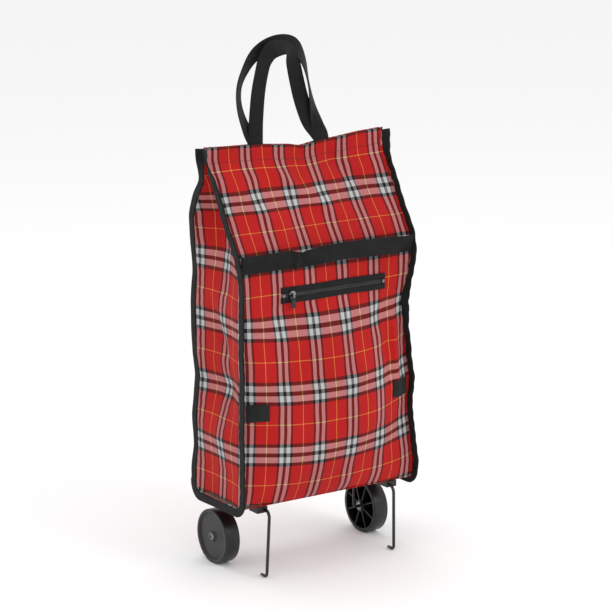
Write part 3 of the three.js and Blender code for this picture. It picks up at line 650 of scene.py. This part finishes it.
def front_binding(side, sign):
    z = np.linspace(UNDERSIDE + 14, SEAM_TOP_Z, 120)
    seam = front_seam(sign, z)
    turn = smoothstep(560, SEAM_TOP_Z, z)[:, None]
    pinched = (smoothstep(330, 367, z) * (1 - smoothstep(367, 405, z)))[:, None]
    aside = 0.75 * turn + (0.6 if sign > 0 else 0) * pinched
    out = np.array([[0.0, -1.0, 0.0]]) * (1 - 0.5 * turn) + np.array([[sign * 1.0, 0, 0]]) * aside
    out /= np.linalg.norm(out, axis=1, keepdims=True)
    front = welt(f"{side}_front_welt", seam, out, (f"{side}_binding_front_upper",))
    follow_mouth(front)


FOOT_CORNER = 14.0              # radius of a gusset's two lower corners


def foot_route():
    """Rows of y, z and outward y, z under a gusset, from its front corner to its back corner."""
    rows = []
    for angle in np.linspace(0, math.pi / 2, 9):
        rows.append((CORNER_Y + FOOT_CORNER * (1 - math.cos(angle)),
                     UNDERSIDE + FOOT_CORNER * (1 - math.sin(angle)), -math.cos(angle), -math.sin(angle)))
    for y in np.linspace(CORNER_Y + FOOT_CORNER, BACK_Y - FOOT_CORNER, 16)[1:]:
        rows.append((y, UNDERSIDE, 0, -1))
    for angle in np.linspace(0, math.pi / 2, 9)[1:]:
        rows.append((BACK_Y - FOOT_CORNER * (1 - math.sin(angle)),
                     UNDERSIDE + FOOT_CORNER * (1 - math.cos(angle)), math.sin(angle), -math.cos(angle)))
    return np.array(rows)


def back_binding(side, sign):
    """The binding that runs under the gusset and up its back seam."""
    rows = foot_route()
    z = np.linspace(UNDERSIDE + FOOT_CORNER, SEAM_TOP_Z, 110)[1:]
    foot = np.column_stack([np.full(len(rows), sign * HALF_WIDTH), rows[:, 0], rows[:, 1]])
    path = np.concatenate([foot, back_seam(sign, z)])
    turn = smoothstep(560, SEAM_TOP_Z, z)
    back_out = np.column_stack([sign * 0.75 * turn, 1 - 0.5 * turn, np.zeros_like(turn)])
    outward = np.concatenate([np.column_stack([np.zeros(len(rows)), rows[:, 2:]]), back_out])
    outward /= np.linalg.norm(outward, axis=1, keepdims=True)
    welt(f"{side}_back_welt", path, outward, (f"{side}_binding",), "bag")


# ---- strap, tabs and handles --------------------------------------------------------------------------
# Each strap point is x, how far it stands off the cloth, and how far its middle is raised.
STRAP_ROUTE = [(-146, 0, 0), (-105, 0, 0), (-66, 0.5, 0), (-57, 5.0, -1.5), (-48, 1.5, -3), (-32, 7, 1),
               (10, 9, 3.5), (60, 9, 3), (105, 5, 0.5), (130, 1.5, -1), (146, 0, -1.5)]


def strap():
    points = []
    for x, stand, rise in STRAP_ROUTE:
        z = (STRAP_LOW[2] + STRAP_HIGH[2]) / 2 + rise
        on = front_point(np.array(float(x)), np.array(z))
        points.append((on[0], min(on[1], STRAP_HIGH[1] + 1.5) - 1.3 - stand, z))
    path, where = resample(points, 2.5)
    slack = smoothstep(2.0, 3.5, where)
    lean = slack * (0.30 * np.sin(where * 1.1) + 0.16 * np.sin(where * 2.7))
    across = np.column_stack([0.07 * slack * np.sin(where * 2), lean, np.ones_like(lean)])
    obj = webbing_strip("front_strap_webbing", path, across, WEBBING_WIDTH, WEBBING_THICKNESS)
    finish_piece(obj, WEBBING, "bag", ("front_strap",))


TAB_THICKNESS = 1.6


def tab(side):
    """A hook-and-loop tab, which lies on the cloth."""
    low, high = box_mm(f"{side}_tab")
    z = (low[2] + high[2]) / 2
    xs = np.linspace(low[0], high[0], 22)
    path = front_point(xs, np.full_like(xs, z))
    path[:, 1] -= TAB_THICKNESS
    across = np.tile([0.0, 0.0, 1.0], (len(xs), 1))
    obj = webbing_strip(f"{side}_tab_tape", path, across, high[2] - low[2], TAB_THICKNESS)
    finish_piece(obj, HOOKS, "bag", (f"{side}_tab",))


# Each route point is x, z, y offset, and the twist in degrees that turns the face from the viewer.
FRONT_HANDLE_ROUTE = [(-66.5, 600, 0, 0), (-66.5, 613, 0, 0), (-66, 640, -1, -4), (-63, 678, -2, -6),
                      (-58, 706, -3, -8), (-53, 724, -4, -4), (-43, 737, -4, 12), (-30, 741, -4, 34),
                      (-17, 740, -3, 40), (-8, 731, -2, 20), (-3, 716, -1, 6), (3, 693, 0, 2),
                      (11, 664, 0, 0), (23, 634, 0, 0), (37, 616, 0, 0), (45, 606, 0, 0), (46, 598, 0, 0)]
BACK_HANDLE_ROUTE = [(-66, 600, 0, 0), (-67, 611, 0, -6), (-80, 630, 1, -34), (-90, 660, 2, -43),
                     (-90, 688, 3, -42), (-79, 712, 4, -34), (-62, 732, 5, -20), (-38, 743, 5, -4),
                     (-12, 745, 5, 10), (6, 738, 4, 24), (19, 716, 3, 44), (26, 684, 1, 55),
                     (32, 650, 0, 38), (40, 622, 0, 10), (46, 608, 0, 0), (47, 598, 0, 0)]


def handle(name, route, node):
    low, high = box_mm(node)
    depth = (low[1] + high[1]) / 2
    path4, _ = resample([(x, depth + dy, z, twist) for x, z, dy, twist in route], 2.5)
    path = path4[:, :3]
    tangent = np.gradient(path, axis=0)
    tangent /= np.linalg.norm(tangent, axis=1, keepdims=True)
    flat = np.cross(tangent, [0.0, 1.0, 0.0])
    twist = np.radians(path4[:, 3:4])
    across = flat * np.cos(twist) + np.array([[0.0, 1.0, 0.0]]) * np.sin(twist)
    obj = webbing_strip(name, path, across, WEBBING_WIDTH, WEBBING_THICKNESS)
    finish_piece(obj, WEBBING, nodes=(node,))
    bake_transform(obj)


MOUTH_TAPES = (("mouth_hook_tape", "mouth_front"), ("mouth_loop_tape", "bag"))
STITCH_PITCH = 3.6
HEM_STITCH_Z = 588.0


def mouth_tapes():
    """The mouth's hook and loop tapes, which sag with the ridge."""
    for node, body in MOUTH_TAPES:
        low, high = box_mm(node)
        xs = np.linspace(low[0], high[0], 60)
        middle = (low[2] + high[2]) / 2 + smooth_curve(RIDGE_SAG, xs)
        path = np.column_stack([xs, np.full(60, (low[1] + high[1]) / 2), middle])
        across = np.tile([0.0, 0.0, 1.0], (60, 1))
        obj = webbing_strip(f"{node}_strip", path, across, high[2] - low[2], high[1] - low[1])
        finish_piece(obj, HOOKS, body, (node,))


def hem_stitches():
    """The row of stitches that holds the front hem."""
    xs = np.arange(-HALF_WIDTH + 6, HALF_WIDTH - 6, STITCH_PITCH)
    places = front_point(xs, np.full_like(xs, HEM_STITCH_Z))
    blocks = [((x, y - 0.15, z), (1.15, 0.3, 0.28)) for x, y, z in places]
    obj = block_set("hem_stitches", blocks, 0.12)
    finish_piece(obj, THREAD, "mouth_front")


# ---- zip pocket ---------------------------------------------------------------------------------------
def zip_tapes():
    for which in ("upper", "lower"):
        low, high = box_mm(f"{which}_zip_tape")
        xs = np.linspace(low[0], high[0], 60)
        middle = (low[2] + high[2]) / 2
        path = np.column_stack([xs, np.full(60, (low[1] + high[1]) / 2), middle + 0.4 * np.sin(xs / 17)])
        across = np.tile([0.0, 0.0, 1.0], (60, 1))
        obj = webbing_strip(f"{which}_zip_tape_cloth", path, across, high[2] - low[2], 1.0)
        finish_piece(obj, BINDING, "bag", (f"{which}_zip_tape",))


LINING_GAP = 2.6


def pocket_bag():
    """The pocket's lining, which hangs just behind the front and follows it."""
    low, high = box_mm("pocket_lining")
    x, z = np.meshgrid(np.linspace(low[0], high[0], 40), np.linspace(low[2], high[2], 40))
    grid = front_point(x, z)
    grid[:, :, 1] += LINING_GAP
    uv = np.stack([x, z], axis=-1)
    obj = cloth_sheet("pocket_lining_cloth", grid, uv)
    finish_piece(obj, LINING, "bag", ("pocket_lining",))


def zip_teeth():
    pitch, blocks = 1.5, []
    count = int((ZIP_HIGH[0] - ZIP_LOW[0]) / pitch)
    middle_y = (ZIP_LOW[1] + ZIP_HIGH[1]) / 2
    for i in range(count):
        side = 1 if i % 2 else -1
        x = ZIP_LOW[0] + pitch * (i + 0.5)
        blocks.append(((x, middle_y, ZIP_MIDDLE + side * 0.8), (0.55, 0.75, 1.35)))
    core = ((ZIP_LOW[0] + ZIP_HIGH[0]) / 2, middle_y + 0.3, ZIP_MIDDLE)
    blocks.append((core, ((ZIP_HIGH[0] - ZIP_LOW[0]) / 2, 0.5, 2.6)))
    obj = block_set("zip_coil_teeth", blocks, 0.25)
    finish_piece(obj, COIL, "bag", ("zip_coil",))


# ---- running gear -------------------------------------------------------------------------------------
WIRE_RADIUS = 2.25
FRAME_PIVOT_Z = 98.0
FRAME_X = 108.0                 # the plane that holds each wire's leg, run and drop
LEG_SPLAY = {"left": 5.0, "right": 1.0}
FOOT_LENGTH = 14
BEND_RADII = (5, 10, 6, 6)      # at the foot, the leg's top, the rear drop and the axle


def corner_arc(before, corner, after, radius, pieces=7):
    """The rounded corner of a bent wire."""
    a = (before - corner) / np.linalg.norm(before - corner)
    b = (after - corner) / np.linalg.norm(after - corner)
    angle = math.acos(np.clip(a @ b, -1, 1))
    back = radius / math.tan(angle / 2)
    middle = corner + (a + b) / np.linalg.norm(a + b) * radius / math.sin(angle / 2)
    start, end = corner + a * back, corner + b * back
    arc = []
    for t in np.linspace(0, 1, pieces):
        ray = (start - middle) * (1 - t) + (end - middle) * t
        arc.append(middle + ray / np.linalg.norm(ray) * radius)
    return arc


def wheel_frame(side, sign):
    """One wire: foot, leg, run under the bag, drop and axle."""
    low, high = box_mm(f"{side}_wheel_frame")
    x, foot_x = sign * FRAME_X, sign * (FRAME_X + LEG_SPLAY[side])
    wheel_low, wheel_high = box_mm(f"{side}_wheel")
    axle_y, axle_z = (wheel_low[1] + wheel_high[1]) / 2, (wheel_low[2] + wheel_high[2]) / 2
    tip_x = sign * max(abs(low[0]), abs(high[0]))
    front = low[1] + WIRE_RADIUS
    corners = [(foot_x, front + FOOT_LENGTH, WIRE_RADIUS), (foot_x, front, WIRE_RADIUS),
               (x, front, FRAME_PIVOT_Z), (x, axle_y, FRAME_PIVOT_Z), (x, axle_y, axle_z),
               (tip_x, axle_y, axle_z)]
    corners = [np.array(c, float) for c in corners]
    path = [corners[0]]
    for i, radius in enumerate(BEND_RADII, start=1):
        path += corner_arc(corners[i - 1], corners[i], corners[i + 1], radius)
    path.append(corners[-1])
    obj = round_bar(f"{side}_bent_wire", np.array(path), WIRE_RADIUS)
    finish_piece(obj, COATING, f"{side}_frame", (f"{side}_wheel_frame",))


HUB_BORE = WIRE_RADIUS + 0.35
RIB_COUNT = 8
RIB_HALF_THICKNESS = 0.9


def wheel_profile(half, radius):
    """The (outward x, radius) outline of a wheel that is 2 * half wide: hub, web, rim and tread."""
    return [(half, 3.9 + HUB_BORE), (half - 0.6, 7.2), (half - 2.6, 9), (half - 2.7, radius - 6.2),
            (half - 0.7, radius - 5), (half, radius - 4), (half, radius - 1.6),
            (half - 0.5, radius - 0.5), (half - 1.6, radius), (0, radius), (1.6 - half, radius),
            (0.5 - half, radius - 0.5), (-half, radius - 1.6), (-half, radius - 5),
            (0.6 - half, radius - 5.6), (half - 6.2, radius - 6), (half - 6.2, 9),
            (0.8 - half, 9), (-half, 8.2), (-half, HUB_BORE), (half, HUB_BORE)]


def wheel_ribs(name, centre, sign, half, radius):
    """The ribs on a wheel's inner face, from its hub to its rim."""
    near, far = centre[0] - sign * (half - 1.6), centre[0] + sign * (half - 6.0)
    points, faces = [], []
    for k in range(RIB_COUNT):
        turn = math.tau * (k + 0.5) / RIB_COUNT
        out = np.array([0, math.cos(turn), math.sin(turn)])
        across = np.array([0, -math.sin(turn), math.cos(turn)])
        start = len(points)
        for x in (near, far):
            for r in (8.6, radius - 5.4):
                for w in (-RIB_HALF_THICKNESS, RIB_HALF_THICKNESS):
                    points.append(np.array([x, centre[1], centre[2]]) + out * r + across * w)
        faces.extend(tuple(start + i for i in face) for face in BOX_FACES)
    return new_object(name, points, faces, smooth=False)


def wheel(side, sign):
    low, high = box_mm(f"{side}_wheel")
    centre = (low + high) / 2
    half, radius = (high[0] - low[0]) / 2, (high[2] - low[2]) / 2
    obj = lathe_about_x(f"{side}_wheel_body", wheel_profile(half, radius), centre, sign)
    finish_piece(obj, PLASTIC, f"{side}_wheel", (f"{side}_wheel",))
    ribs = wheel_ribs(f"{side}_wheel_ribs", centre, sign, half, radius)
    finish_piece(ribs, PLASTIC, f"{side}_wheel")


def cad_finish(names, material, bevel=0.0):
    """A better material, and rounded edges, for CAD nodes that are kept."""
    for name in names:
        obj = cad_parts[name]
        for i in range(max(1, len(obj.material_slots))):
            if obj.material_slots:
                obj.material_slots[i].material = material
            else:
                obj.data.materials.append(material)
        if bevel:
            rounding = obj.modifiers.new("edges", "BEVEL")
            rounding.width = bevel * MM
            rounding.segments = 2
            rounding.limit_method = "ANGLE"


def kept_cad_parts():
    cad_finish(["base_board"], BOARD)
    cad_finish(["zip_puller"], PLASTIC, 0.3)
    cad_finish(["zip_slider", "zip_stop_left", "zip_stop_right"], STEEL, 0.3)
    for side in ("left", "right"):
        cad_finish([f"{side}_{end}_pivot_block" for end in ("front", "rear")], PLASTIC, 0.6)
        cad_finish([f"{side}_axle_washer", f"{side}_axle_nut"], STEEL, 0.15)
        rivets = [f"{side}_{end}_rivet_{which}" for end in ("front", "rear") for which in "ab"]
        cad_finish(rivets, STEEL, 0.2)


# ---- camera, light and floor --------------------------------------------------------------------------
def aim(obj, target):
    obj.rotation_euler = (Vector(target) - obj.location).to_track_quat("-Z", "Y").to_euler()


def soft_light(name, place, size, power):
    data = bpy.data.lights.new(name, "AREA")
    data.size = size
    data.energy = power
    obj = bpy.data.objects.new(name, data)
    obj.location = place
    bpy.context.scene.collection.objects.link(obj)
    aim(obj, (0, 0, 0.35))


FLOOR_REACH = 30000.0


def studio():
    """The camera at the object's seen angle, soft lights, and a pale floor that runs past the view."""
    camera = bpy.data.objects.new("camera", bpy.data.cameras.new("camera"))
    camera.data.lens = 164.06
    camera.data.sensor_width = 36
    camera.location = (-2.1683, -3.2251 + SET_BACK * MM, 1.3068)
    bpy.context.scene.collection.objects.link(camera)
    aim(camera, (0.0019, SET_BACK * MM, 0.3683))
    bpy.context.scene.camera = camera

    soft_light("key", (1.0, -2.8, 2.3), 1.2, 22)
    soft_light("fill", (-2.6, -1.2, 1.4), 2.0, 3)
    soft_light("top", (0, 0.4, 2.8), 1.8, 12)
    world = bpy.data.worlds.new("studio")
    world.use_nodes = True
    world.node_tree.nodes["Background"].inputs[0].default_value = (1, 1, 1, 1)
    world.node_tree.nodes["Background"].inputs[1].default_value = 0.93
    bpy.context.scene.world = world

    corners = [(x * FLOOR_REACH, y * FLOOR_REACH, 0) for x, y in ((-1, -1), (1, -1), (1, 1), (-1, 1))]
    floor = new_object("floor", corners, [(0, 1, 2, 3)])
    s = Shader("pale_floor", 0.9)
    s.surface.inputs["Base Color"].default_value = (0.97, 0.97, 0.97, 1)
    floor.data.materials.append(s.material)
    bpy.context.scene.view_settings.view_transform = "Standard"


# ---- the whole object ---------------------------------------------------------------------------------
studio()
front_cloth()
back_cloth()
for side_name, side_sign in (("left", -1), ("right", 1)):
    gusset_cloth(side_name, side_sign)
    front_binding(side_name, side_sign)
    back_binding(side_name, side_sign)
    tab(side_name)
    wheel_frame(side_name, side_sign)
    wheel(side_name, side_sign)
strap()
handle("front_handle_webbing", FRONT_HANDLE_ROUTE, "front_handle")
handle("back_handle_webbing", BACK_HANDLE_ROUTE, "back_handle")
zip_tapes()
mouth_tapes()
hem_stitches()
pocket_bag()
zip_teeth()
kept_cad_parts()
